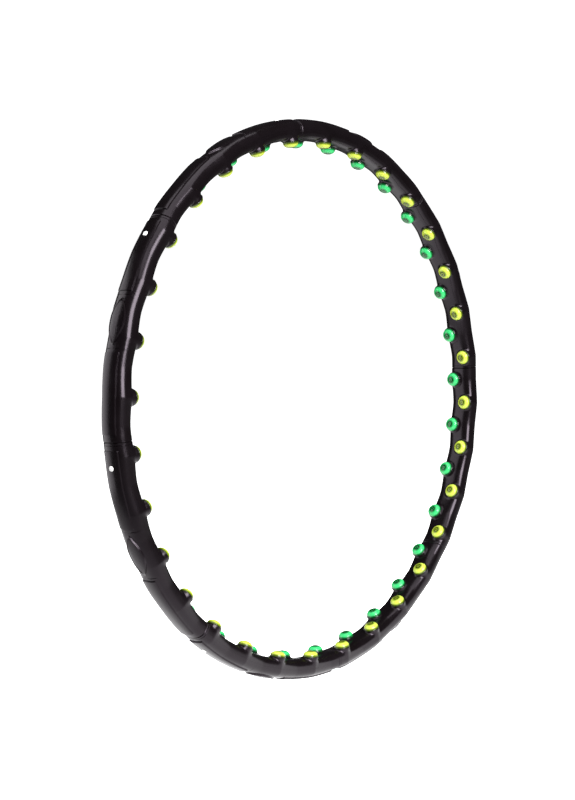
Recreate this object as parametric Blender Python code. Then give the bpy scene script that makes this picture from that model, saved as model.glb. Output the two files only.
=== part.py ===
"""An eight-section massage hoop with 64 magnet domes, standing upright.

Units are metres and +Z is up. The hoop's axis is Y, its centre is the origin, and the yellow row of domes
faces -Y. Angles along the hoop are degrees clockwise from the top, as seen from -Y. A section's own shapes
are drawn for the section that starts at the top, and each copy is turned about Y to its place.
"""

import math

import bmesh
import bpy
from mathutils import Matrix, Vector

# The ring
SECTIONS = 8
SECTION_ANGLE = 360 / SECTIONS
RING_RADIUS = 0.4700  # to the middle of the tube
GAP = 0.0003  # between neighbouring pieces
END_OVERLAP = 1.0  # degrees that a cutting shape runs past a section's ends

# The tube's cross-section: half its height along the ring's radius, and half its width along the axis
TUBE_HALF_HEIGHT = 0.0172
TUBE_HALF_WIDTH = 0.0226
CREST_WIDTH = 0.0030  # how much the side stands out at a boss
CREST_POWER = 1.4
TUBE_SQUARENESS = 2.4  # exponent of the superellipse: 2 is an ellipse
WALL = 0.0024
OUTER_STEPS = 6  # faces round half of the outside
INNER_STEPS = 4  # faces round half of the hollow

# The two rows of knobs
KNOB_PITCH = SECTION_ANGLE / 4
GREEN_START = SECTION_ANGLE / 16
YELLOW_START = GREEN_START + KNOB_PITCH / 2
ROW_OFFSET = 0.0130  # from the tube's middle plane
KNOB_SIDES = 8
BOSS_FACE_DEPTH = 0.0192  # from the tube's middle line towards the hoop's centre
BOSS_RADIUS = 0.0145
BOSS_ROOT_DEPTH = 0.0050
BOSS_ROOT_RADIUS = 0.0102
DOME_RADIUS = 0.0140
DOME_HEIGHT = 0.0106
DOME_PROFILE = ((1.0, 0.0), (0.88, 0.46), (0.50, 0.88))  # shares of its radius and height
NECK_RADIUS = 0.0050
WEB_DEPTH = 0.0102
WEB_THICKNESS = 0.0012
WEB_WIDTH = 0.0050
WEB_OFFSET = 0.0075

# The raised areas on the outer side, as (start, end, height at the ends, height in the middle)
PADS = ((1.5, 16.6, 0.0021, 0.0021), (28.4, 43.5, 0.0021, 0.0021))
EMBLEM = (18.0, 27.0, 0.0012, 0.0034)
STEP_ANGLE = 0.12
NECKLINE = 0.42  # share of the half circle that stays low on each side of a raised area

# The connector plug and its lock button, placed from a seam: along the tangent, and out along the radius
PLUG_REACH = 0.0520
PLUG_ROOT = 0.0105
PLUG_HALF_WIDTH = 0.0165
PLUG_HALF_HEIGHT = 0.0090
PLUG_WALL = 0.0020
PLUG_SQUARENESS = 3.0
PLUG_SIDES = 12
BUTTON_REACH = 0.0400
BUTTON_RADIUS = 0.0043
BUTTON_TIP = 0.0188
BUTTON_CHAMFER = 0.0012
BUTTON_FLANGE_RADIUS = 0.0058
BUTTON_FLANGE_THICKNESS = 0.0015
BUTTON_FLANGE_TOP = PLUG_HALF_HEIGHT - PLUG_WALL - GAP
BUTTON_FLANGE_BOTTOM = BUTTON_FLANGE_TOP - BUTTON_FLANGE_THICKNESS
BUTTON_SIDES = 10
SPRING_RADIUS = 0.0042
SPRING_BORE = 0.0030
SPRING_SIDES = 6

# The slot beside the last yellow knob
SLOT_LENGTH = 0.0200
SLOT_WIDTH = 0.0016
SLOT_ANGLE = YELLOW_START + 3 * KNOB_PITCH
SLOT_OFFSET = 0.0120


def clear_scene():
    for obj in list(bpy.data.objects):
        bpy.data.objects.remove(obj, do_unlink=True)


def plastic(name, color, roughness, alpha=1.0):
    """A Principled BSDF material in one colour."""
    material = bpy.data.materials.new(name)
    material.use_nodes = True
    shader = material.node_tree.nodes["Principled BSDF"]
    shader.inputs["Base Color"].default_value = (*color, 1)
    shader.inputs["Roughness"].default_value = roughness
    shader.inputs["Metallic"].default_value = 0
    shader.inputs["Alpha"].default_value = alpha
    return material


def steel(name):
    """Bright metal."""
    material = plastic(name, (0.55, 0.55, 0.56), 0.35)
    material.node_tree.nodes["Principled BSDF"].inputs["Metallic"].default_value = 1
    return material


def ring_point(angle, radius, y):
    """The point at an angle along the hoop, a distance from its axis and a height along it."""
    turn = math.radians(angle)
    return Vector((radius * math.sin(turn), y, radius * math.cos(turn)))


def crest(angle, start):
    """How far a side stands out: all the way at its own bosses, nothing halfway between two of them."""
    phase = ((angle - start) / KNOB_PITCH) % 1
    return CREST_WIDTH * abs(2 * phase - 1) ** CREST_POWER


def raised(angle):
    """The height of the raised area at an angle along the section."""
    for start, end, low, high in (*PADS, EMBLEM):
        if start <= angle <= end:
            middle = 1 - abs(2 * (angle - start) / (end - start) - 1) ** 2
            return low + (high - low) * middle
    return 0


def superellipse(share):
    """(across, out) of unit size for a share of the half circle, from the front side to the rear one."""
    turn = math.pi * share
    across, out = -math.cos(turn), math.sin(turn)
    power = 2 / TUBE_SQUARENESS
    return math.copysign(abs(across) ** power, across), out**power


def half_profile(angle, side, steps, inset):
    """Points of half the tube's cross-section. Side is 1 for the outer half and -1 for the inner one."""
    points = []
    for step in range(steps + 1):
        share = step / steps
        across, out = superellipse(share)
        row = YELLOW_START if across < 0 else GREEN_START
        width = TUBE_HALF_WIDTH + crest(angle, row) - inset
        height = TUBE_HALF_HEIGHT - inset
        on_top = side > 0 and inset == 0 and NECKLINE / 2 < share < 1 - NECKLINE / 2
        height_here = height * out + (raised(angle) if on_top else 0)
        points.append((RING_RADIUS + side * max(height_here, GAP / 2), width * across))
    return points


def loft(rings):
    """A closed body through rings of points, capped at both ends."""
    mesh = bmesh.new()
    loops = [[mesh.verts.new(point) for point in ring] for ring in rings]
    for first, second in zip(loops, loops[1:]):
        for k in range(len(first)):
            near, far = k, (k + 1) % len(first)
            mesh.faces.new((first[near], first[far], second[far], second[near]))
    mesh.faces.new(reversed(loops[0]))
    mesh.faces.new(loops[-1])
    bmesh.ops.recalc_face_normals(mesh, faces=mesh.faces)
    return mesh


def turned(profile, sides):
    """A closed body turned about Z from (radius, height) points, whose ends lie on the axis or get a cap."""
    mesh = bmesh.new()
    rings = []
    for radius, height in profile:
        count = sides if radius else 1
        ring = []
        for k in range(count):
            turn = 2 * math.pi * (k + 0.25) / sides
            ring.append(mesh.verts.new((radius * math.cos(turn), radius * math.sin(turn), height)))
        rings.append(ring)
    for low, high in zip(rings, rings[1:]):
        for k in range(sides):
            near, far = k, (k + 1) % sides
            if len(high) == 1:
                mesh.faces.new((low[near], low[far], high[0]))
            elif len(low) == 1:
                mesh.faces.new((low[0], high[far], high[near]))
            else:
                mesh.faces.new((low[near], low[far], high[far], high[near]))
    for ring in (rings[0], rings[-1]):
        if len(ring) > 1:
            mesh.faces.new(ring)
    bmesh.ops.recalc_face_normals(mesh, faces=mesh.faces)
    return mesh


def as_object(mesh, name, matrix=None):
    """Turns a bmesh into an object, with its points moved by the matrix."""
    if matrix is not None:
        mesh.transform(matrix)
    data = bpy.data.meshes.new(name)
    mesh.to_mesh(data)
    mesh.free()
    obj = bpy.data.objects.new(name, data)
    bpy.context.scene.collection.objects.link(obj)
    return obj


def combine(base, tools, operation):
    """Applies one Boolean per tool to the base object and removes the tools."""
    for tool in tools:
        modifier = base.modifiers.new(operation.title(), "BOOLEAN")
        modifier.operation = operation
        modifier.solver = "EXACT"
        modifier.object = tool
    graph = bpy.context.evaluated_depsgraph_get()
    made = bpy.data.meshes.new_from_object(base.evaluated_get(graph))
    base.modifiers.clear()
    base.data = made
    for tool in tools:
        bpy.data.objects.remove(tool, do_unlink=True)


def knob_frame(angle, y):
    """Places a turned shape at a knob, its Z pointing at the hoop's axis and its zero on the tube's middle."""
    inward = -ring_point(angle, 1, 0)
    across = Vector((0, 1, 0))
    along = across.cross(inward)
    turn = Matrix((along, across, inward)).transposed().to_4x4()
    return Matrix.Translation(ring_point(angle, RING_RADIUS, y)) @ turn


def seam_frame(along):
    """Places a shape a distance past the top seam: X along the tangent, Y across the tube, Z outwards."""
    return Matrix.Translation((along, 0, RING_RADIUS))


def knob_angles(start):
    return [start + k * KNOB_PITCH for k in range(4)]


def knob_places():
    """(angle, y) of the eight knobs of a section."""
    yellow = [(angle, -ROW_OFFSET) for angle in knob_angles(YELLOW_START)]
    green = [(angle, ROW_OFFSET) for angle in knob_angles(GREEN_START)]
    return yellow + green


def end_angle():
    """Half the gap at a seam, as an angle."""
    return math.degrees(GAP / 2 / RING_RADIUS)


def knob_stations():
    """The angles of a section's knobs, where its cross-section changes."""
    return sorted([*knob_angles(YELLOW_START), *knob_angles(GREEN_START)])


def outer_stations():
    """The angles at which the outer half is drawn: its ends, the knobs and the raised areas' steps."""
    angles = [end_angle(), SECTION_ANGLE - end_angle(), *knob_stations()]
    for start, end, *_ in PADS:
        angles += [start - STEP_ANGLE, start, end, end + STEP_ANGLE]
    angles += [EMBLEM[0] - STEP_ANGLE, sum(EMBLEM[:2]) / 2, EMBLEM[1] + STEP_ANGLE]
    return sorted(angles)


def ring_at(angle, points):
    return [ring_point(angle, radius, y) for radius, y in points]


def hollow_cutter(side):
    """The space inside one half of the tube, drawn past both ends and past the parting plane."""
    rings = []
    past = RING_RADIUS - side * WALL
    for angle in [-END_OVERLAP, *knob_stations(), SECTION_ANGLE + END_OVERLAP]:
        half = half_profile(angle, side, INNER_STEPS, WALL)
        rings.append(ring_at(angle, [*half, (past, half[-1][1]), (past, half[0][1])]))
    return as_object(loft(rings), "hollow")


def outer_shell_mesh():
    """The outer half of a section: raised pads and emblem, and the lock button's hole."""
    rings = [ring_at(angle, half_profile(angle, 1, OUTER_STEPS, 0)) for angle in outer_stations()]
    shell = as_object(loft(rings), "outer_shell")
    reach = BUTTON_RADIUS + GAP
    hole = turned(((reach, 0), (reach, 2 * BUTTON_TIP)), BUTTON_SIDES)
    end = Matrix.Rotation(math.radians(SECTION_ANGLE), 4, "Y")
    cutter = as_object(hole, "button_hole", end @ seam_frame(-BUTTON_REACH))
    combine(shell, [hollow_cutter(1), cutter], "DIFFERENCE")
    return shell


def boss():
    """The raised round seat of one knob."""
    profile = ((BOSS_RADIUS, BOSS_FACE_DEPTH), (BOSS_ROOT_RADIUS, BOSS_ROOT_DEPTH))
    return turned(profile, KNOB_SIDES)


def slot_cutter():
    """A flat box that cuts the slot through the inner wall."""
    mesh = bmesh.new()
    bmesh.ops.create_cube(mesh, size=1)
    bmesh.ops.scale(mesh, vec=(SLOT_LENGTH, SLOT_WIDTH, TUBE_HALF_HEIGHT), verts=mesh.verts)
    centre = Matrix.Translation((0, 0, TUBE_HALF_HEIGHT))
    return as_object(mesh, "slot", knob_frame(SLOT_ANGLE, SLOT_OFFSET) @ centre)


def inner_shell_mesh():
    """The inner half of a section: eight bosses, each with a hole for its dome's neck, and the slot."""
    angles = [end_angle(), *knob_stations(), SECTION_ANGLE - end_angle()]
    rings = [ring_at(angle, half_profile(angle, -1, OUTER_STEPS, 0)) for angle in angles]
    shell = as_object(loft(rings), "inner_shell")
    bosses = [as_object(boss(), "boss", knob_frame(*place)) for place in knob_places()]
    combine(shell, bosses, "UNION")
    cuts = [hollow_cutter(-1)]
    reach = NECK_RADIUS + GAP
    for place in knob_places():
        neck = turned(((reach, BOSS_ROOT_DEPTH), (reach, 2 * BOSS_FACE_DEPTH)), KNOB_SIDES)
        cuts.append(as_object(neck, "neck_hole", knob_frame(*place)))
    cuts.append(slot_cutter())
    combine(shell, cuts, "DIFFERENCE")
    return shell


def web(start, y):
    """The thin strip inside the tube that holds a row's four domes."""
    near = RING_RADIUS - WEB_DEPTH
    far = near - WEB_THICKNESS
    left, right = y - WEB_WIDTH / 2, y + WEB_WIDTH / 2
    outline = ((near, left), (near, right), (far, right), (far, left))
    angles = [start + k * KNOB_PITCH / 2 for k in range(7)]
    return as_object(loft([ring_at(angle, outline) for angle in angles]), "web")


def dome():
    """A dome with the neck that holds it, from the neck's inner end to the dome's tip."""
    base = BOSS_FACE_DEPTH + GAP
    profile = [(NECK_RADIUS, WEB_DEPTH - GAP), (NECK_RADIUS, base)]
    profile += [(DOME_RADIUS * r, base + DOME_HEIGHT * h) for r, h in DOME_PROFILE]
    profile.append((0, base + DOME_HEIGHT))
    return profile


def knob_strip_mesh(start, y, name):
    """Four domes of one colour on their web."""
    strip = web(start, math.copysign(WEB_OFFSET, y))
    strip.name = name
    domes = []
    for angle in knob_angles(start):
        domes.append(as_object(turned(dome(), KNOB_SIDES), "dome", knob_frame(angle, y)))
    combine(strip, domes, "UNION")
    return strip


def plug_ring(x, inset):
    """Points round the plug at a distance along the tangent, drawn in by the inset."""
    points = []
    power = 2 / PLUG_SQUARENESS
    for k in range(PLUG_SIDES):
        turn = 2 * math.pi * (k + 0.5) / PLUG_SIDES
        across = math.copysign(abs(math.cos(turn)) ** power, math.cos(turn))
        out = math.copysign(abs(math.sin(turn)) ** power, math.sin(turn))
        points.append((x, (PLUG_HALF_WIDTH - inset) * across, (PLUG_HALF_HEIGHT - inset) * out))
    return points


def plug_mesh():
    """The straight hollow plug at a section's start, with a hole for its lock button."""
    plug = as_object(
        loft([plug_ring(-PLUG_REACH, 0), plug_ring(PLUG_ROOT, 0)]), "plug", seam_frame(0)
    )
    reach = BUTTON_RADIUS + GAP
    bore = loft([plug_ring(-2 * PLUG_REACH, PLUG_WALL), plug_ring(2 * PLUG_ROOT, PLUG_WALL)])
    hole = turned(((reach, 0), (reach, BUTTON_TIP)), BUTTON_SIDES)
    cuts = [as_object(bore, "bore", seam_frame(0)), as_object(hole, "hole", seam_frame(-BUTTON_REACH))]
    combine(plug, cuts, "DIFFERENCE")
    return plug


def button_mesh():
    """The lock button: a flange that stops it inside the plug, and a head through both walls."""
    profile = (
        (BUTTON_FLANGE_RADIUS, BUTTON_FLANGE_BOTTOM),
        (BUTTON_FLANGE_RADIUS, BUTTON_FLANGE_TOP),
        (BUTTON_RADIUS, BUTTON_FLANGE_TOP),
        (BUTTON_RADIUS, BUTTON_TIP - BUTTON_CHAMFER),
        (BUTTON_RADIUS - BUTTON_CHAMFER, BUTTON_TIP),
    )
    return as_object(turned(profile, BUTTON_SIDES), "lock_button")


def spring_mesh():
    """The return spring's outline: a ring from the plug's floor to the button's flange."""
    floor = -PLUG_HALF_HEIGHT + PLUG_WALL + GAP
    top = BUTTON_FLANGE_BOTTOM - GAP
    body = as_object(
        turned(((SPRING_RADIUS, floor), (SPRING_RADIUS, top)), SPRING_SIDES), "button_spring"
    )
    bore = turned(((SPRING_BORE, floor - GAP), (SPRING_BORE, top + GAP)), SPRING_SIDES)
    combine(body, [as_object(bore, "spring_bore")], "DIFFERENCE")
    return body


def finish(template, material, smooth_angle):
    """Shades the template smooth, gives it its material and takes it out of the scene. Returns its mesh."""
    data = template.data
    data.materials.clear()
    data.materials.append(material)
    data.shade_smooth()
    data.set_sharp_from_angle(angle=math.radians(smooth_angle))
    bpy.data.objects.remove(template, do_unlink=True)
    return data


def section_templates():
    """Name and mesh of every piece that is placed by turning it about the hoop's axis."""
    black = plastic("black_plastic", (0.035, 0.030, 0.034), 0.32)
    dark = plastic("plug_plastic", (0.045, 0.045, 0.048), 0.45)
    yellow = plastic("yellow_dome_plastic", (0.68, 0.80, 0.12), 0.15, 0.85)
    green = plastic("green_dome_plastic", (0.05, 0.60, 0.20), 0.15, 0.85)
    yellow_strip = knob_strip_mesh(YELLOW_START, -ROW_OFFSET, "yellow_knob_strip")
    green_strip = knob_strip_mesh(GREEN_START, ROW_OFFSET, "green_knob_strip")
    return {
        "outer_shell": finish(outer_shell_mesh(), black, 40),
        "inner_shell": finish(inner_shell_mesh(), black, 40),
        "yellow_knob_strip": finish(yellow_strip, yellow, 50),
        "green_knob_strip": finish(green_strip, green, 50),
        "plug": finish(plug_mesh(), dark, 40),
    }


def place_section(number, templates, button, spring):
    """Places one section's pieces, with the lock button and its spring on the button's own axis."""
    turn = Matrix.Rotation(math.radians(number * SECTION_ANGLE), 4, "Y")
    ring = bpy.context.scene.collection
    for name, data in templates.items():
        obj = bpy.data.objects.new(f"{name}_{number + 1}", data)
        obj.matrix_world = turn
        ring.objects.link(obj)
    axis = bpy.data.objects.new(f"lock_button_axis_{number + 1}", None)
    axis.matrix_world = turn @ seam_frame(-BUTTON_REACH)
    ring.objects.link(axis)
    for name, data in (("lock_button", button), ("button_spring", spring)):
        obj = bpy.data.objects.new(f"{name}_{number + 1}", data)
        obj.parent = axis
        ring.objects.link(obj)


def main():
    clear_scene()
    templates = section_templates()
    button = finish(button_mesh(), plastic("white_plastic", (0.85, 0.85, 0.84), 0.35), 40)
    spring = finish(spring_mesh(), steel("spring_steel"), 40)
    for number in range(SECTIONS):
        place_section(number, templates, button, spring)


main()
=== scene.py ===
"""The look of an eight-section massage hoop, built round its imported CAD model.

Units are metres and +Z is up. The hoop's axis is Y, its centre is the origin, and the yellow row of
domes faces -Y. Angles along the hoop are degrees clockwise from the top, as seen from -Y. Each shape is
drawn once, for the section that starts at the top, and its copies are turned about Y to the other
sections. In a cross-section of the tube, "out" is the distance from the tube's middle line away from the
hoop's centre.
"""

import math

import bmesh
import bpy
import numpy as np
from mathutils import Matrix, Vector

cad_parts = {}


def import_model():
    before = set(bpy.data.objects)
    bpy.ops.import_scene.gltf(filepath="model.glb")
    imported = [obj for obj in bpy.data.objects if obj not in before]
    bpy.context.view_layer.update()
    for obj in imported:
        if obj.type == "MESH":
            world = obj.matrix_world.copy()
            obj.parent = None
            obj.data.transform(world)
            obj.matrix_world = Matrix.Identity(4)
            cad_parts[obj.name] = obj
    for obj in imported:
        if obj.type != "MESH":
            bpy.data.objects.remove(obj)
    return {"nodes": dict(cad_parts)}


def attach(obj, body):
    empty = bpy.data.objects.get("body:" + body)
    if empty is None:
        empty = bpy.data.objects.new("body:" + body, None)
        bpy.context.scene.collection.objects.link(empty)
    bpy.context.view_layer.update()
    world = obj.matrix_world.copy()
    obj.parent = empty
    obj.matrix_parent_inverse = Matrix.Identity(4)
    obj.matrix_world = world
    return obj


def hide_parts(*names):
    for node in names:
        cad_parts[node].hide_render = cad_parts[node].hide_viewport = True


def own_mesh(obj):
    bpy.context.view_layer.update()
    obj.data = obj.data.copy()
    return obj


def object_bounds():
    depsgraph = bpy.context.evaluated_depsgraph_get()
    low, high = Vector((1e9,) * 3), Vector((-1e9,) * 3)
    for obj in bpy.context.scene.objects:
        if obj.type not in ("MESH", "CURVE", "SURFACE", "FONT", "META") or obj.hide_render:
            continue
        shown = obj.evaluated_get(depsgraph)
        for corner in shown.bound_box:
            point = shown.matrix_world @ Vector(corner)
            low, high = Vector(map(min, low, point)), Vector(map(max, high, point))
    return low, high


MM = 0.001

# The hoop, as in the CAD model
SECTIONS = 8
SECTION_ANGLE = 360 / SECTIONS
RING_RADIUS = 470 * MM
TUBE_HALF_HEIGHT = 17.2 * MM
TUBE_HALF_WIDTH = 22.6 * MM
CREST_WIDTH = 3.0 * MM
CREST_POWER = 1.4
WALL = 2.4 * MM
SEAM_GAP = 0.3 * MM
PARTING_GAP = 0.1 * MM
KNOB_PITCH = SECTION_ANGLE / 4
GREEN_START = SECTION_ANGLE / 16
YELLOW_START = GREEN_START + KNOB_PITCH / 2
ROW_OFFSET = 13 * MM

# The cross-sections of the two halves, as superellipses
OUTER_SQUARENESS = 2.4
INNER_SQUARENESS = 2.8
CREST_SQUARENESS = 0.9  # added to the inner half's squareness beside a boss
STATION_SPACING = 1.3 * MM
STATION_CLEARANCE = 0.4  # share of the spacing that stays free beside a marked station
ROUND_STEPS = 56
TURNED_OFFSET = 0.25  # of a side, so that a turned body has no edge in a symmetry plane

# The cutter for a half's inside
HOLLOW_STATIONS = 32
HOLLOW_SIDES = 12
HOLLOW_OVERRUN = 1  # degrees past each end of the section

# The raised areas of the outer half: pads and the emblem, as angles along the section
PADS = ((1.5, 16.6), (28.4, 43.5))
PAD_HEIGHT = 2.1 * MM
PAD_HALF_WIDTH = 15.0 * MM
PAD_WAIST = 1.2 * MM
EMBLEM = (18.0, 27.0)
EMBLEM_HEIGHT = 3.2 * MM
EMBLEM_HALF_WIDTH = 15.5 * MM
EMBLEM_RIM = 1.8 * MM
EMBLEM_RECESS = 0.7 * MM
EMBLEM_MARGIN = 0.08  # share of its length that stays pointed past each end
EMBLEM_FADE = 0.8  # degrees over which its ends rise
EMBLEM_FALL = 0.45  # how much lower its ends are than its middle
GRAIN_PITCH = 2.6 * MM
GRAIN_HEIGHT = 0.22 * MM
STEP_WIDTH = 0.5 * MM
STEP_SHARES = (1, 0.75, 0.5, 0.25, 0)  # of the step's width, for the lines along it
SIDE_STEPS = 12
LEAST_HALF_WIDTH = 0.2 * MM  # of a raised area's pointed end
GROOVE_FROM_SEAM = 4.6 * MM
GROOVE_WIDTH = 0.9 * MM
GROOVE_DEPTH = 0.5 * MM
SEAM_CHAMFER = 1.1 * MM

# Bosses and domes; depths are measured from the tube's middle line towards the hoop's centre
BOSS_FACE_DEPTH = 19.2 * MM
BOSS_RADIUS = 14.5 * MM
BOSS_ROOT_DEPTH = 5.0 * MM
BOSS_ROOT_RADIUS = 10.2 * MM
BOSS_EDGE = 0.6 * MM
BOSS_SIDES = 56
BOSS_EDGE_STEPS = 4
BLEND_RADIUS = 5.0 * MM
BLEND_INSET = 0.5 * MM
SEARCH_STEPS = 60  # towards the inner half's surface, from outside it
SEARCH_SHARE = 0.7  # of the distance that is left, taken in one step
LEAST_SCALE = 1e-6  # keeps the search from dividing by zero
DOME_GAP = 0.3 * MM
DOME_RADIUS = 14.0 * MM
DOME_HEIGHT = 10.6 * MM
DOME_FLANGE = 1.3 * MM
DOME_LEDGE = 0.9 * MM
DOME_FOOT_EDGE = 0.3 * MM
DOME_FLANGE_EDGE = 0.4 * MM
DOME_CAP_EDGE = 0.1 * MM
DOME_ROUNDNESS = 0.92  # 1 is an ellipse, less is fuller
DOME_SIDES = 56
DOME_STEPS = 18
NECK_RADIUS = 5.0 * MM
NECK_LENGTH = 6.0 * MM
NECK_SIDES = 40

# The lock button and its spring, placed from a seam
BUTTON_REACH = 40 * MM
BUTTON_RADIUS = 4.3 * MM
BUTTON_TIP = 18.8 * MM
BUTTON_EDGE = 0.9 * MM
BUTTON_EDGE_STEPS = 5
BUTTON_FLANGE_RADIUS = 5.8 * MM
BUTTON_FLANGE_TOP = 6.7 * MM
BUTTON_FLANGE_BOTTOM = 5.2 * MM
BUTTON_SIDES = 40
HOLE_RADIUS = 4.6 * MM
SPRING_FLOOR = -6.7 * MM
SPRING_RADIUS = 3.6 * MM
SPRING_WIRE = 0.5 * MM
SPRING_SIDES = 8
SPRING_TURNS = 6
SPRING_STEPS = 20
SPRING_GAP = 0.2 * MM

# The slot beside the last yellow knob
SLOT_LENGTH = 20 * MM
SLOT_WIDTH = 1.6 * MM
SLOT_ANGLE = YELLOW_START + 3 * KNOB_PITCH
SLOT_OFFSET = 12 * MM

# The largest angles, in degrees, between two faces that shade as one smooth surface
SHELL_SMOOTHING = 35
TURNED_SMOOTHING = 45
SPRING_SMOOTHING = 60

# The domes' plastic: bright over the dome, deep round the magnet, and almost black at the rims. The same
# colours also give the domes' faint painted glow
YELLOW_TINTS = ((0.44, 0.53, 0.065), (0.18, 0.24, 0.017), (0.016, 0.026, 0.002))
GREEN_TINTS = ((0.035, 0.44, 0.13), (0.010, 0.17, 0.042), (0.001, 0.018, 0.005))

# The camera, aimed at the hoop's centre and then turned a little
CAMERA_AZIMUTH = -49.58
CAMERA_ELEVATION = 6.96
CAMERA_ROLL = -4.02
CAMERA_PAN = 0.796
CAMERA_DISTANCE = 2.998
CAMERA_LENS = 76.68
SENSOR_WIDTH = 36

# The floor. In reflections it glows near the hoop and is dark far from it
FLOOR_REACH = 40
FLOOR_DIMMED = 0.12  # share of its colour that reflections show
FLOOR_GLOW = (2.3, 0.01)  # near and far
FLOOR_GLOW_CENTRE = (0.1, 0.3)
FLOOR_NEAR = 0.50
FLOOR_FAR = 1.25

# The sky's colours in reflections, low down and high up, and its strength to the camera
SKY_LOW = (0.06, 0.057, 0.066)
SKY_HIGH = (0.03, 0.03, 0.03)
SKY_HIGH_FROM = 0.6  # the Z of a direction, from which the high colour is full
SKY_TO_CAMERA = 1.2

# The lights: azimuth, elevation, distance, (width, height) and watts
SOFTBOXES = {
    "front_softbox": (-17, 23, 3.4, (2.4, 2.2), 360),
    "inner_softbox": (-141, 0, 1.4, (0.9, 2.2), 19),
    "top_softbox": (-30, 75, 3.6, (3.5, 3.5), 120),
}


def smooth(x):
    """0 below 0, 1 above 1, and a smooth step between."""
    x = min(max(x, 0.0), 1.0)
    return x * x * (3 - 2 * x)


def as_angle(length):
    """The angle, in degrees, that a length takes up along the hoop."""
    return math.degrees(length / RING_RADIUS)


def crest(angle, start):
    """How far a side stands out: all the way at its own bosses, nothing halfway between two of them."""
    phase = ((angle - start) / KNOB_PITCH) % 1
    return CREST_WIDTH * abs(2 * phase - 1) ** CREST_POWER


def row_of(across):
    """The first knob of the row on the side that across points to."""
    return YELLOW_START if across < 0 else GREEN_START


def inner_squareness(angle, across):
    """The inner half is square beside a boss and rounder between two of them."""
    return INNER_SQUARENESS + CREST_SQUARENESS * crest(angle, row_of(across)) / CREST_WIDTH


def ring_point(angle, out, y):
    """The point at an angle along the hoop, a distance out of the tube's middle line."""
    turn = math.radians(angle)
    radius = RING_RADIUS + out
    return (radius * math.sin(turn), y, radius * math.cos(turn))


def superellipse(turn, squareness):
    """(across, out) of unit size at a turn from 0, on the front side, to pi, on the rear one."""
    power = 2 / squareness
    across, out = -math.cos(turn), max(math.sin(turn), 0)
    return math.copysign(abs(across) ** power, across), out**power


def half_width(angle, across):
    """Half the tube's width on the side that across points to."""
    return TUBE_HALF_WIDTH + crest(angle, row_of(across))


def seam_inset(angle):
    """How far the surface draws in at a section's ends: a chamfer at both, and a groove near the last."""
    from_start = math.radians(angle) * RING_RADIUS
    from_end = math.radians(SECTION_ANGLE - angle) * RING_RADIUS
    nearest = min(from_start, from_end)
    inset = max(SEAM_CHAMFER - nearest, 0)
    groove = max(1 - abs(from_end - GROOVE_FROM_SEAM) / (GROOVE_WIDTH / 2), 0)
    return inset + GROOVE_DEPTH * smooth(groove)


def stations(marks):
    """Angles along a section, evenly spaced, with the marks among them and no others close to a mark."""
    first = as_angle(SEAM_GAP / 2)
    last = SECTION_ANGLE - first
    spacing = as_angle(STATION_SPACING)
    even = np.linspace(first, last, int((last - first) / spacing))
    marks = sorted([first, *marks, last])
    free = [a for a in even if min(abs(a - m) for m in marks) > spacing * STATION_CLEARANCE]
    return sorted([*free, *marks])


def seam_marks():
    """The angles at which the chamfers and the groove turn."""
    chamfer = as_angle(SEAM_CHAMFER)
    groove = SECTION_ANGLE - as_angle(GROOVE_FROM_SEAM)
    half = as_angle(GROOVE_WIDTH / 2)
    return [chamfer, SECTION_ANGLE - chamfer, groove - half, groove, groove + half]


def loft(rings):
    """A closed body through rings of points, capped at both ends."""
    mesh = bmesh.new()
    loops = [[mesh.verts.new(point) for point in ring] for ring in rings]
    for first, second in zip(loops, loops[1:]):
        for k in range(len(first)):
            near, far = k, (k + 1) % len(first)
            mesh.faces.new((first[near], first[far], second[far], second[near]))
    mesh.faces.new(reversed(loops[0]))
    mesh.faces.new(loops[-1])
    bmesh.ops.recalc_face_normals(mesh, faces=mesh.faces)
    return mesh


def turned(profile, sides):
    """A closed body turned about Z, from (radius, height) points listed from its lower end up."""
    mesh = bmesh.new()
    rings = []
    for radius, height in profile:
        count = sides if radius else 1
        ring = []
        for k in range(count):
            turn = 2 * math.pi * (k + TURNED_OFFSET) / sides
            ring.append(mesh.verts.new((radius * math.cos(turn), radius * math.sin(turn), height)))
        rings.append(ring)
    for low, high in zip(rings, rings[1:]):
        for k in range(sides):
            near, far = k, (k + 1) % sides
            if len(high) == 1:
                mesh.faces.new((low[near], low[far], high[0]))
            elif len(low) == 1:
                mesh.faces.new((low[0], high[far], high[near]))
            else:
                mesh.faces.new((low[near], low[far], high[far], high[near]))
    for ring in (rings[0], rings[-1]):
        if len(ring) > 1:
            mesh.faces.new(ring)
    bmesh.ops.recalc_face_normals(mesh, faces=mesh.faces)
    return mesh


def as_object(mesh, name, matrix=None):
    """Turns a bmesh into an object in the scene, with its points moved by the matrix."""
    if matrix is not None:
        mesh.transform(matrix)
    data = bpy.data.meshes.new(name)
    mesh.to_mesh(data)
    mesh.free()
    obj = bpy.data.objects.new(name, data)
    bpy.context.scene.collection.objects.link(obj)
    return obj


def combine(base, tools, operation):
    """Applies one Boolean per tool to the base object and removes the tools."""
    for tool in tools:
        modifier = base.modifiers.new(operation.title(), "BOOLEAN")
        modifier.operation = operation
        modifier.solver = "EXACT"
        modifier.object = tool
    graph = bpy.context.evaluated_depsgraph_get()
    made = bpy.data.meshes.new_from_object(base.evaluated_get(graph))
    base.modifiers.clear()
    base.data = made
    for tool in tools:
        bpy.data.objects.remove(tool, do_unlink=True)


def knob_frame(angle, y):
    """Places a turned shape at a knob: its Z points at the hoop's axis, from the tube's middle line."""
    inward = -(Vector(ring_point(angle, 1, 0)) - Vector(ring_point(angle, 0, 0)))
    across = Vector((0, 1, 0))
    along = across.cross(inward)
    turn = Matrix((along, across, inward)).transposed().to_4x4()
    return Matrix.Translation(ring_point(angle, 0, y)) @ turn


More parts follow.
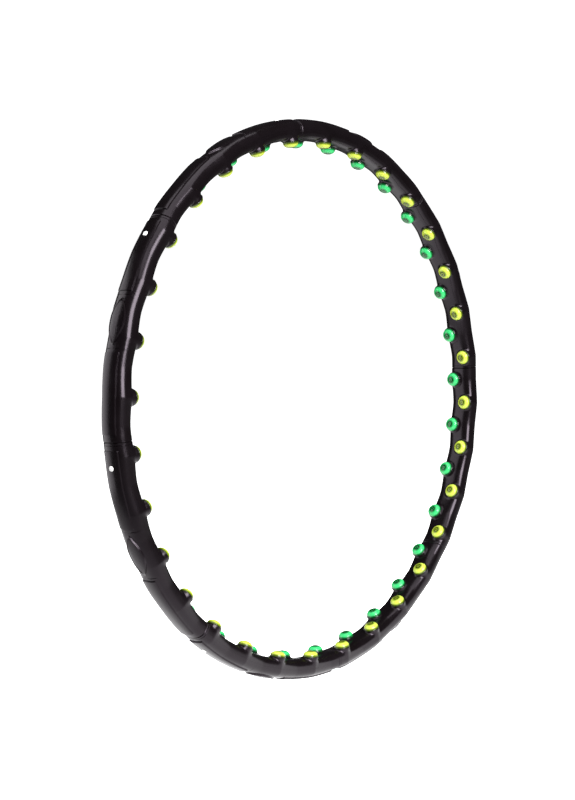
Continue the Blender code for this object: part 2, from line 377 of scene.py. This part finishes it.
def button_frame(seam_angle):
    """Places a shape on a lock button's axis, before the seam at that angle: Z points outwards."""
    turn = Matrix.Rotation(math.radians(seam_angle), 4, "Y")
    return turn @ Matrix.Translation((-BUTTON_REACH, 0, RING_RADIUS))


def knob_angles(start):
    return [start + k * KNOB_PITCH for k in range(4)]


def knob_places():
    """(angle, y) of the eight knobs of a section."""
    yellow = [(angle, -ROW_OFFSET) for angle in knob_angles(YELLOW_START)]
    green = [(angle, ROW_OFFSET) for angle in knob_angles(GREEN_START)]
    return yellow + green


def hollow_cutter(side):
    """The space inside one half of the tube, drawn past both ends and past the parting plane."""
    past = -side * WALL
    rings = []
    for angle in np.linspace(-HOLLOW_OVERRUN, SECTION_ANGLE + HOLLOW_OVERRUN, HOLLOW_STATIONS):
        ring = []
        for k in range(HOLLOW_SIDES + 1):
            across, out = superellipse(math.pi * k / HOLLOW_SIDES, OUTER_SQUARENESS)
            width = half_width(angle, across) - WALL
            ring.append(ring_point(angle, side * (TUBE_HALF_HEIGHT - WALL) * out, width * across))
        front, rear = ring[0][1], ring[-1][1]
        ring += [ring_point(angle, past, rear), ring_point(angle, past, front)]
        rings.append(ring)
    return as_object(loft(rings), "hollow")


# The outer half


def raised_edge(angle, row_start):
    """Half the width of the raised area at an angle: a pad's waisted edge, or the emblem's pointed arc."""
    start, end = EMBLEM
    share = (angle - start) / (end - start)
    if -EMBLEM_MARGIN < share < 1 + EMBLEM_MARGIN:
        return max(EMBLEM_HALF_WIDTH * (1 - (2 * share - 1) ** 2), 2 * LEAST_HALF_WIDTH)
    other = GREEN_START if row_start == YELLOW_START else YELLOW_START
    return PAD_HALF_WIDTH - PAD_WAIST * crest(angle, other) / CREST_WIDTH


def pad_share(angle):
    """1 on a pad and 0 off it, with a short step at its ends."""
    step = as_angle(STEP_WIDTH)
    return max(smooth((angle - s) / step + 1) * smooth((e - angle) / step + 1) for s, e in PADS)


def emblem_share(angle):
    start, end = EMBLEM
    return smooth((angle - start) / EMBLEM_FADE) * smooth((end - angle) / EMBLEM_FADE)


def grain(angle, y):
    """A fine pebbled relief."""
    along = 2 * math.pi * math.radians(angle) * RING_RADIUS / GRAIN_PITCH
    across = 2 * math.pi * y / GRAIN_PITCH
    return GRAIN_HEIGHT * math.sin(along + math.sin(across)) * math.sin(across + math.cos(along / 2))


def raised(angle, y, edge):
    """The height of the raised areas over the plain tube."""
    inside = edge - abs(y)
    height = PAD_HEIGHT * pad_share(angle) * smooth(inside / STEP_WIDTH + 1)
    start, end = EMBLEM
    if start < angle < end:
        bulge = 1 - EMBLEM_FALL * (2 * (angle - start) / (end - start) - 1) ** 2
        field = smooth((inside - EMBLEM_RIM) / STEP_WIDTH)
        lens = EMBLEM_HEIGHT * bulge * smooth(inside / STEP_WIDTH + 1)
        height += (lens - field * (EMBLEM_RECESS + grain(angle, y))) * emblem_share(angle)
    return height


def edge_turns(angle, row_start):
    """Turns from the parting plane to the middle on one side, with lines along the raised area's edge."""
    width = TUBE_HALF_WIDTH + crest(angle, row_start)
    edge = raised_edge(angle, row_start)
    rim = edge - EMBLEM_RIM
    lines = [edge + STEP_WIDTH * share for share in STEP_SHARES] + [rim, rim - STEP_WIDTH]
    turns = []
    for k, line in enumerate(lines):
        across = max(line, LEAST_HALF_WIDTH / (k + 1)) / width
        turns.append(math.acos(across ** (OUTER_SQUARENESS / 2)))
    lower = np.linspace(0, turns[0], SIDE_STEPS)
    inner = np.linspace(turns[-1], math.pi / 2, SIDE_STEPS)
    return [*lower, *turns[1:-1], *inner]


def outer_ring(angle):
    """The points round the outer half at one station."""
    front = edge_turns(angle, YELLOW_START)
    rear = [math.pi - turn for turn in reversed(edge_turns(angle, GREEN_START))]
    inset = seam_inset(angle)
    points = []
    for turn in [*front, *rear[1:]]:
        across, out = superellipse(turn, OUTER_SQUARENESS)
        y = (half_width(angle, across) - inset) * across
        edge = raised_edge(angle, YELLOW_START if y < 0 else GREEN_START)
        height = (TUBE_HALF_HEIGHT - inset) * out + raised(angle, y, edge)
        points.append(ring_point(angle, max(height, PARTING_GAP / 2), y))
    return points


def outer_half():
    step = as_angle(STEP_WIDTH)
    marks = seam_marks()
    for start, end in PADS:
        marks += [start - step, start - step / 2, start, end, end + step / 2, end + step]
    marks += [EMBLEM[0], EMBLEM[1]]
    shell = as_object(loft([outer_ring(angle) for angle in stations(marks)]), "outer_half")
    hole = turned(((HOLE_RADIUS, 0), (HOLE_RADIUS, 2 * BUTTON_TIP)), BUTTON_SIDES)
    cutter = as_object(hole, "button_hole", button_frame(SECTION_ANGLE))
    combine(shell, [hollow_cutter(1), cutter], "DIFFERENCE")
    return shell


# The inner half


def boss_distance(angles, depth, y, place):
    """How far points of the inner half are from one boss, in metres."""
    knob_angle, knob_y = place
    radius = RING_RADIUS - depth
    delta = np.radians(angles - knob_angle)
    along = radius * np.sin(delta)
    local_depth = RING_RADIUS - radius * np.cos(delta)
    slope = (BOSS_RADIUS - BOSS_ROOT_RADIUS) / (BOSS_FACE_DEPTH - BOSS_ROOT_DEPTH)
    wall = BOSS_RADIUS - BLEND_INSET - slope * (BOSS_FACE_DEPTH - local_depth)
    off_wall = np.hypot(along, y - knob_y) - wall
    off_face = local_depth - (BOSS_FACE_DEPTH - BLEND_INSET)
    outside = np.hypot(np.maximum(off_wall, 0), np.maximum(off_face, 0))
    return outside + np.minimum(np.maximum(off_wall, off_face), 0)


def inner_distance(angles, sizes, powers, depth, y):
    """How far points are from the tube with its bosses, with a fillet where they meet."""
    width = np.where(y < 0, sizes[1], sizes[2])
    power = np.where(y < 0, powers[0], powers[1])
    scaled = (np.abs(y / width) ** power + np.abs(depth / sizes[0]) ** power) ** (1 / power)
    reach = np.hypot(depth, y)
    tube = reach * (1 - 1 / np.maximum(scaled, LEAST_SCALE))
    bosses = np.min([boss_distance(angles, depth, y, place) for place in knob_places()], axis=0)
    share = np.clip(0.5 + 0.5 * (bosses - tube) / BLEND_RADIUS, 0, 1)
    return bosses * (1 - share) + tube * share - BLEND_RADIUS * share * (1 - share)


def inner_half():
    """The inner half of a section, with its bosses, the holes for the domes' necks and the slot."""
    shell = as_object(loft(inner_rings()), "inner_half")
    bosses = [as_object(boss(), "boss", knob_frame(*place)) for place in knob_places()]
    combine(shell, bosses, "UNION")
    reach = NECK_RADIUS + DOME_GAP
    neck = ((reach, BOSS_ROOT_DEPTH), (reach, 2 * BOSS_FACE_DEPTH))
    cuts = [hollow_cutter(-1)]
    for place in knob_places():
        cuts.append(as_object(turned(neck, NECK_SIDES), "neck_hole", knob_frame(*place)))
    combine(shell, [*cuts, slot_cutter()], "DIFFERENCE")
    return shell


def inner_rings():
    """The points round the inner half at each station, found by going in from outside to its surface."""
    angles = np.array(stations(seam_marks()))[:, None]
    insets = np.array([[seam_inset(a)] for a in angles[:, 0]])
    front = np.array([[half_width(a, -1)] for a in angles[:, 0]]) - insets
    rear = np.array([[half_width(a, 1)] for a in angles[:, 0]]) - insets
    sizes = (TUBE_HALF_HEIGHT - insets, front, rear)
    powers = [np.array([[inner_squareness(a, side)] for a in angles[:, 0]]) for side in (-1, 1)]
    turns = np.linspace(0, math.pi, ROUND_STEPS + 1)
    shape = np.array([superellipse(turn, INNER_SQUARENESS) for turn in turns])
    toward = shape * (TUBE_HALF_WIDTH, TUBE_HALF_HEIGHT)
    toward /= np.hypot(toward[:, 0], toward[:, 1])[:, None]
    across, inward = toward[:, 0][None, :], toward[:, 1][None, :]
    reach = np.full((len(angles), ROUND_STEPS + 1), 2 * BOSS_FACE_DEPTH)
    for _ in range(SEARCH_STEPS):
        reach -= SEARCH_SHARE * inner_distance(angles, sizes, powers, reach * inward, reach * across)
    depths = np.maximum(reach * inward, PARTING_GAP / 2)
    sideways = reach * across
    rings = []
    for angle, ring_depths, ring_sideways in zip(angles[:, 0], depths, sideways):
        rings.append([ring_point(angle, -depth, y) for depth, y in zip(ring_depths, ring_sideways)])
    return rings


def boss():
    """A boss with a rounded edge round its flat face."""
    points = [(BOSS_ROOT_RADIUS, BOSS_ROOT_DEPTH)]
    for k in range(BOSS_EDGE_STEPS + 1):
        turn = math.pi / 2 * k / BOSS_EDGE_STEPS
        radius = BOSS_RADIUS - BOSS_EDGE * (1 - math.cos(turn))
        points.append((radius, BOSS_FACE_DEPTH - BOSS_EDGE * (1 - math.sin(turn))))
    return turned(points, BOSS_SIDES)


def slot_cutter():
    """A flat box that cuts the slot through the inner wall."""
    mesh = bmesh.new()
    bmesh.ops.create_cube(mesh, size=1)
    bmesh.ops.scale(mesh, vec=(SLOT_LENGTH, SLOT_WIDTH, TUBE_HALF_HEIGHT), verts=mesh.verts)
    centre = Matrix.Translation((0, 0, TUBE_HALF_HEIGHT))
    return as_object(mesh, "slot", knob_frame(SLOT_ANGLE, SLOT_OFFSET) @ centre)


# Domes, buttons and springs


def dome_profile():
    """(radius, height) from the neck's end up to the dome's tip, height zero on the boss's face."""
    cap = DOME_RADIUS - DOME_LEDGE
    rise = DOME_HEIGHT - DOME_FLANGE
    points = [
        (NECK_RADIUS, -NECK_LENGTH),
        (NECK_RADIUS, 0),
        (DOME_RADIUS - DOME_FOOT_EDGE, 0),
        (DOME_RADIUS, DOME_FOOT_EDGE),
        (DOME_RADIUS, DOME_FLANGE - DOME_FLANGE_EDGE),
        (DOME_RADIUS - DOME_FLANGE_EDGE, DOME_FLANGE),
        (cap + DOME_CAP_EDGE, DOME_FLANGE),
        (cap, DOME_FLANGE + DOME_CAP_EDGE),
    ]
    for k in range(1, DOME_STEPS):
        turn = math.pi / 2 * (k / DOME_STEPS)
        height = DOME_FLANGE + rise * math.sin(turn) ** DOME_ROUNDNESS
        points.append((cap * math.cos(turn) ** DOME_ROUNDNESS, height))
    points.append((0, DOME_HEIGHT))
    return points


def dome_set(start, y, name):
    """Four domes of one colour, whose points know how far they are from their dome's axis."""
    whole = bmesh.new()
    layer = whole.verts.layers.float.new("dome_radius")
    for angle in knob_angles(start):
        mesh = turned(dome_profile(), DOME_SIDES)
        radii = [math.hypot(v.co.x, v.co.y) for v in mesh.verts]
        mesh.transform(knob_frame(angle, y) @ Matrix.Translation((0, 0, BOSS_FACE_DEPTH + DOME_GAP / 2)))
        made = [whole.verts.new(v.co) for v in mesh.verts]
        for vertex, radius in zip(made, radii):
            vertex[layer] = radius
        mesh.verts.index_update()
        for face in mesh.faces:
            whole.faces.new([made[v.index] for v in face.verts])
        mesh.free()
    return as_object(whole, name)


def button():
    """The lock button: a flange inside the plug, and a head with a rounded edge."""
    points = [(BUTTON_FLANGE_RADIUS, BUTTON_FLANGE_BOTTOM), (BUTTON_FLANGE_RADIUS, BUTTON_FLANGE_TOP)]
    points.append((BUTTON_RADIUS, BUTTON_FLANGE_TOP))
    for k in range(BUTTON_EDGE_STEPS + 1):
        turn = math.pi / 2 * k / BUTTON_EDGE_STEPS
        radius = BUTTON_RADIUS - BUTTON_EDGE * (1 - math.cos(turn))
        points.append((radius, BUTTON_TIP - BUTTON_EDGE * (1 - math.sin(turn))))
    return as_object(turned(points, BUTTON_SIDES), "button")


def spring():
    """A coil from the plug's floor to the button's flange."""
    low = SPRING_FLOOR + SPRING_WIRE
    rise = BUTTON_FLANGE_BOTTOM - SPRING_WIRE - SPRING_GAP - low
    rings = []
    for k in range(SPRING_TURNS * SPRING_STEPS + 1):
        share = k / (SPRING_TURNS * SPRING_STEPS)
        turn = 2 * math.pi * SPRING_TURNS * share
        ring = []
        for side in range(SPRING_SIDES):
            round_wire = 2 * math.pi * side / SPRING_SIDES
            radius = SPRING_RADIUS + SPRING_WIRE * math.cos(round_wire)
            height = low + rise * share + SPRING_WIRE * math.sin(round_wire)
            ring.append((radius * math.cos(turn), radius * math.sin(turn), height))
        rings.append(ring)
    return as_object(loft(rings), "spring")


# Materials


class Nodes:
    """Adds nodes to one material and links them."""

    def __init__(self, name):
        self.material = bpy.data.materials.new(name)
        self.material.use_nodes = True
        self.tree = self.material.node_tree
        self.shader = self.tree.nodes["Principled BSDF"]

    def add(self, kind, **values):
        node = self.tree.nodes.new(kind)
        for key, value in values.items():
            if key in node.inputs:
                node.inputs[key].default_value = value
            else:
                setattr(node, key, value)
        return node

    def link(self, out, into):
        self.tree.links.new(out, into)

    def noise(self, scale, detail=2.0):
        """Noise over the object's own coordinates."""
        place = self.add("ShaderNodeTexCoord")
        noise = self.add("ShaderNodeTexNoise", Scale=scale, Detail=detail)
        self.link(place.outputs["Object"], noise.inputs["Vector"])
        return noise.outputs["Fac"]

    def ramp(self, value, stops):
        """A colour ramp over the value, from (place, colour) stops."""
        node = self.add("ShaderNodeValToRGB")
        ramp = node.color_ramp
        while len(ramp.elements) < len(stops):
            ramp.elements.new(0.5)
        for element, (place, color) in zip(ramp.elements, stops):
            element.position = place
            element.color = (*color, 1)
        self.link(value, node.inputs["Fac"])
        return node.outputs["Color"]

    def between(self, value, low, high, start=0.3, stop=0.7):
        """Stretches the value's range, start to stop, to low to high. Noise mostly lies in 0.3 to 0.7."""
        node = self.add("ShaderNodeMapRange")
        for key, number in (("From Min", start), ("From Max", stop), ("To Min", low), ("To Max", high)):
            node.inputs[key].default_value = number
        self.link(value, node.inputs["Value"])
        return node.outputs["Result"]

    def bump(self, value, distance, strength):
        node = self.add("ShaderNodeBump", Distance=distance, Strength=strength)
        self.link(value, node.inputs["Height"])
        self.link(node.outputs["Normal"], self.shader.inputs["Normal"])


def black_plastic():
    """Semi-gloss black moulded plastic, slightly warm, with a very fine unevenness."""
    m = Nodes("black_moulded_plastic")
    color = m.ramp(m.noise(18, 3), [(0.3, (0.0024, 0.0016, 0.0019)), (0.7, (0.0034, 0.0024, 0.0030))])
    m.link(color, m.shader.inputs["Base Color"])
    m.link(m.between(m.noise(60, 3), 0.20, 0.26), m.shader.inputs["Roughness"])
    m.shader.inputs["Specular IOR Level"].default_value = 0.22
    m.shader.inputs["Specular Tint"].default_value = (1.0, 0.86, 1.0, 1)
    m.bump(m.noise(500, 1), 0.03 * MM, 0.06)
    return m.material


def dark_plastic():
    """The connector plugs' duller plastic."""
    m = Nodes("connector_plastic")
    color = m.ramp(m.noise(40, 2), [(0.3, (0.018, 0.018, 0.020)), (0.7, (0.026, 0.026, 0.028))])
    m.link(color, m.shader.inputs["Base Color"])
    m.link(m.between(m.noise(120, 2), 0.42, 0.52), m.shader.inputs["Roughness"])
    m.bump(m.noise(1200, 1), 0.05 * MM, 0.3)
    return m.material


def white_plastic():
    m = Nodes("white_button_plastic")
    color = m.ramp(m.noise(120, 2), [(0.3, (0.80, 0.80, 0.78)), (0.7, (0.88, 0.88, 0.87))])
    m.link(color, m.shader.inputs["Base Color"])
    m.link(m.between(m.noise(200, 2), 0.30, 0.40), m.shader.inputs["Roughness"])
    m.bump(m.noise(1500, 1), 0.04 * MM, 0.3)
    return m.material


def steel():
    m = Nodes("spring_wire_steel")
    color = m.ramp(m.noise(300, 2), [(0.3, (0.50, 0.50, 0.51)), (0.7, (0.60, 0.60, 0.61))])
    m.link(color, m.shader.inputs["Base Color"])
    m.shader.inputs["Metallic"].default_value = 1
    m.link(m.between(m.noise(500, 2), 0.25, 0.4), m.shader.inputs["Roughness"])
    return m.material


def dome_plastic(name, bright, deep, rim):
    """Clear tinted plastic: bright over the dome, dark at its rim, with the magnet's rings in its tip, and
    a faint painted glow.
    """
    m = Nodes(name)
    radius = m.add("ShaderNodeAttribute", attribute_name="dome_radius")
    share = m.add("ShaderNodeMath", operation="DIVIDE")
    share.inputs[1].default_value = DOME_RADIUS
    m.link(radius.outputs["Fac"], share.inputs[0])
    stops = [(0.0, rim), (0.10, rim), (0.14, deep), (0.21, deep), (0.25, rim), (0.36, rim), (0.40, deep)]
    stops += [(0.48, deep), (0.60, bright), (0.87, bright), (0.91, deep), (0.94, rim), (1.0, rim)]
    color = m.ramp(share.outputs["Value"], stops)
    m.link(color, m.shader.inputs["Base Color"])
    # Painted glow: the dome emits its own ramp colours, standing in for the light that passes through it
    m.link(color, m.shader.inputs["Emission Color"])
    m.shader.inputs["Emission Strength"].default_value = 0.25
    m.link(m.between(m.noise(150, 2), 0.10, 0.16), m.shader.inputs["Roughness"])
    m.shader.inputs["Coat Weight"].default_value = 0.05
    m.shader.inputs["Coat Roughness"].default_value = 0.05
    m.shader.inputs["Transmission Weight"].default_value = 0.25
    m.shader.inputs["IOR"].default_value = 1.49
    m.shader.inputs["Specular IOR Level"].default_value = 0.22
    m.bump(m.noise(700, 1), 0.03 * MM, 0.1)
    return m.material


# The studio


def floor(level):
    """A large pale sheet: white to the camera, and in reflections bright only near the hoop."""
    m = Nodes("studio_floor")
    seen = m.add("ShaderNodeLightPath").outputs["Is Camera Ray"]
    color = m.ramp(m.noise(2, 2), [(0.3, (0.80, 0.80, 0.80)), (0.7, (0.83, 0.83, 0.83))])
    paint = m.add("ShaderNodeVectorMath", operation="SCALE")
    m.link(color, paint.inputs[0])
    m.link(m.between(seen, FLOOR_DIMMED, 1, start=0, stop=1), paint.inputs["Scale"])
    m.link(paint.outputs["Vector"], m.shader.inputs["Base Color"])
    m.shader.inputs["Roughness"].default_value = 0.9
    m.shader.inputs["Emission Color"].default_value = (1, 1, 1, 1)
    geometry = m.add("ShaderNodeNewGeometry")
    distance = m.add("ShaderNodeVectorMath", operation="DISTANCE")
    distance.inputs[1].default_value = (*FLOOR_GLOW_CENTRE, level)
    m.link(geometry.outputs["Position"], distance.inputs[0])
    glow = m.between(distance.outputs["Value"], *FLOOR_GLOW, start=FLOOR_NEAR, stop=FLOOR_FAR)
    strength = m.add("ShaderNodeMath", operation="MAXIMUM")
    m.link(glow, strength.inputs[0])
    m.link(seen, strength.inputs[1])
    m.link(strength.outputs["Value"], m.shader.inputs["Emission Strength"])
    mesh = bmesh.new()
    place = Matrix.Translation((0, 0, level))
    bmesh.ops.create_grid(mesh, x_segments=1, y_segments=1, size=FLOOR_REACH, matrix=place)
    sheet = as_object(mesh, "studio_floor")
    sheet.data.materials.append(m.material)


def world():
    """White to the camera. In reflections it is dim, and dimmer still high up."""
    sky = bpy.data.worlds.new("studio")
    sky.use_nodes = True
    bpy.context.scene.world = sky
    tree = sky.node_tree
    tree.nodes.clear()
    place = tree.nodes.new("ShaderNodeTexCoord")
    parts = tree.nodes.new("ShaderNodeSeparateXYZ")
    ramp = tree.nodes.new("ShaderNodeValToRGB")
    ramp.color_ramp.elements[0].color = (*SKY_LOW, 1)
    ramp.color_ramp.elements[1].color = (*SKY_HIGH, 1)
    ramp.color_ramp.elements[1].position = SKY_HIGH_FROM
    seen = tree.nodes.new("ShaderNodeLightPath")
    lit = tree.nodes.new("ShaderNodeBackground")
    plain = tree.nodes.new("ShaderNodeBackground")
    plain.inputs["Color"].default_value = (1, 1, 1, 1)
    plain.inputs["Strength"].default_value = SKY_TO_CAMERA
    mix = tree.nodes.new("ShaderNodeMixShader")
    output = tree.nodes.new("ShaderNodeOutputWorld")
    tree.links.new(place.outputs["Generated"], parts.inputs["Vector"])
    tree.links.new(parts.outputs["Z"], ramp.inputs["Fac"])
    tree.links.new(ramp.outputs["Color"], lit.inputs["Color"])
    tree.links.new(seen.outputs["Is Camera Ray"], mix.inputs["Fac"])
    tree.links.new(lit.outputs["Background"], mix.inputs[1])
    tree.links.new(plain.outputs["Background"], mix.inputs[2])
    tree.links.new(mix.outputs["Shader"], output.inputs["Surface"])


def softbox(name, azimuth, elevation, distance, size, power):
    """A rectangular light at a direction from the hoop's centre, facing it."""
    light = bpy.data.lights.new(name, "AREA")
    light.shape = "RECTANGLE"
    light.size, light.size_y = size
    light.energy = power
    lamp = bpy.data.objects.new(name, light)
    bpy.context.scene.collection.objects.link(lamp)
    toward = direction(azimuth, elevation)
    lamp.location = toward * distance
    lamp.rotation_euler = toward.to_track_quat("Z", "Y").to_euler()
    lamp.visible_camera = False


def direction(azimuth, elevation):
    a, e = math.radians(azimuth), math.radians(elevation)
    return Vector((math.sin(a) * math.cos(e), -math.cos(a) * math.cos(e), math.sin(e)))


def camera():
    data = bpy.data.cameras.new("camera")
    data.sensor_width = SENSOR_WIDTH
    data.lens = CAMERA_LENS
    view = bpy.data.objects.new("camera", data)
    bpy.context.scene.collection.objects.link(view)
    toward = direction(CAMERA_AZIMUTH, CAMERA_ELEVATION)
    look = toward.to_track_quat("Z", "Y").to_matrix().to_4x4()
    roll = Matrix.Rotation(math.radians(CAMERA_ROLL), 4, "Z")
    pan = Matrix.Rotation(math.radians(CAMERA_PAN), 4, "Y")
    view.matrix_world = Matrix.Translation(toward * CAMERA_DISTANCE) @ look @ roll @ pan
    bpy.context.scene.camera = view


# Putting it together


def finish_mesh(template, material, smoothing):
    """Gives the template's mesh its material and smooth shading, and removes the template."""
    data = template.data
    data.materials.clear()
    data.materials.append(material)
    data.shade_smooth()
    data.set_sharp_from_angle(angle=math.radians(smoothing))
    bpy.data.objects.remove(template, do_unlink=True)
    return data


def place_piece(data, name, matrix, body, node):
    """A copy of the mesh, moved to its place, that rides on a body and stands for a CAD node."""
    placed = data.copy()
    placed.transform(matrix)
    obj = bpy.data.objects.new(name, placed)
    bpy.context.scene.collection.objects.link(obj)
    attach(obj, body)
    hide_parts(node)
    return obj


def ring_meshes():
    """(CAD name, piece name, mesh, slot) of everything in a section that stays with the ring."""
    black = black_plastic()
    yellow = dome_plastic("yellow_dome_plastic", *YELLOW_TINTS)
    green = dome_plastic("green_dome_plastic", *GREEN_TINTS)
    outer = finish_mesh(outer_half(), black, SHELL_SMOOTHING)
    inner = finish_mesh(inner_half(), black, SHELL_SMOOTHING)
    front = finish_mesh(dome_set(YELLOW_START, -ROW_OFFSET, "yellow"), yellow, TURNED_SMOOTHING)
    rear = finish_mesh(dome_set(GREEN_START, ROW_OFFSET, "green"), green, TURNED_SMOOTHING)
    return [
        ("outer_shell", "outer_half", outer, "black_plastic"),
        ("inner_shell", "inner_half", inner, "black_plastic"),
        ("yellow_knob_strip", "yellow_domes", front, "yellow_dome"),
        ("green_knob_strip", "green_domes", rear, "green_dome"),
    ]


def place_button(number, button_mesh, spring_mesh):
    """One lock button, and its spring, which the button squashes against the plug's floor."""
    at = button_frame((number - 1) * SECTION_ANGLE)
    body = f"lock_button_{number}"
    place_piece(button_mesh, f"button_{number}", at, body, body)
    node = f"button_spring_{number}"
    coil = place_piece(spring_mesh, f"spring_{number}", at, "hoop_ring", node)
    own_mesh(coil)


def main():
    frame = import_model()
    cad_low, cad_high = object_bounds()
    shared = ring_meshes()
    button_mesh = finish_mesh(button(), white_plastic(), TURNED_SMOOTHING)
    spring_mesh = finish_mesh(spring(), steel(), SPRING_SMOOTHING)
    plug_plastic = dark_plastic()
    for number in range(1, SECTIONS + 1):
        turn = Matrix.Rotation(math.radians((number - 1) * SECTION_ANGLE), 4, "Y")
        for node, piece, data, slot in shared:
            place_piece(data, f"{piece}_{number}", turn, "hoop_ring", f"{node}_{number}")
        place_button(number, button_mesh, spring_mesh)
        plug = frame["nodes"][f"plug_{number}"].data
        plug.materials.clear()
        plug.materials.append(plug_plastic)
    floor(cad_low.z)
    world()
    for name, values in SOFTBOXES.items():
        softbox(name, *values)
    camera()
    bpy.context.scene.view_settings.view_transform = "Standard"


main()
